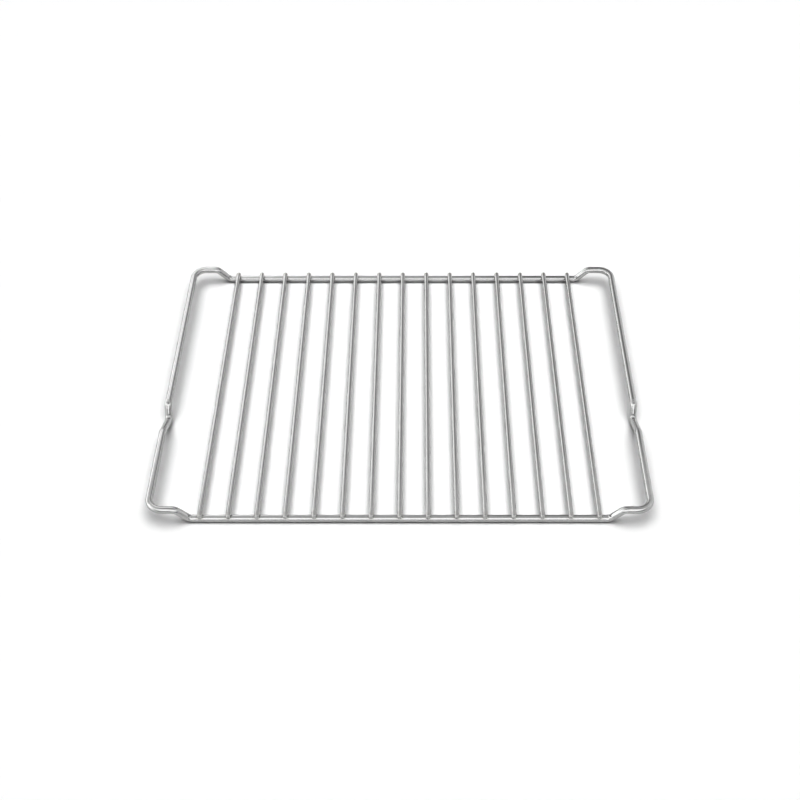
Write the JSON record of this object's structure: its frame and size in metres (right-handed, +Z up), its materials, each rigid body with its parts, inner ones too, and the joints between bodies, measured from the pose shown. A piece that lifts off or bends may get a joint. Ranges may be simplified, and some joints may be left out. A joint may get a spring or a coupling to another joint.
{
  "type": "wire cooling rack",
  "caption": "Welded wire cooling and oven rack: straight cross rods on one bent frame wire with raised, rounded corners and a V notch in each side.",
  "frame": {"origin": "middle of the footprint, on the surface the rack stands on", "axes": "+X to the right along the rails, +Y to the back along the cross rods, +Z up; the side notches are in front of the middle, towards -Y"},
  "size_m": [0.437, 0.314, 0.0186],
  "materials": {
    "frame_steel": "bright electropolished round wire, satin highlights",
    "rod_steel": "bright electropolished drawn rod, satin highlights"
  },
  "bodies": {
    "root": {"frame_wire": "frame_steel", "rod_01": "rod_steel", "rod_02": "rod_steel", "rod_03": "rod_steel", "rod_04": "rod_steel", "rod_05": "rod_steel", "rod_06": "rod_steel", "rod_07": "rod_steel", "rod_08": "rod_steel", "rod_09": "rod_steel", "rod_10": "rod_steel", "rod_11": "rod_steel", "rod_12": "rod_steel", "rod_13": "rod_steel", "rod_14": "rod_steel", "rod_15": "rod_steel"}
  },
  "joints": []
}
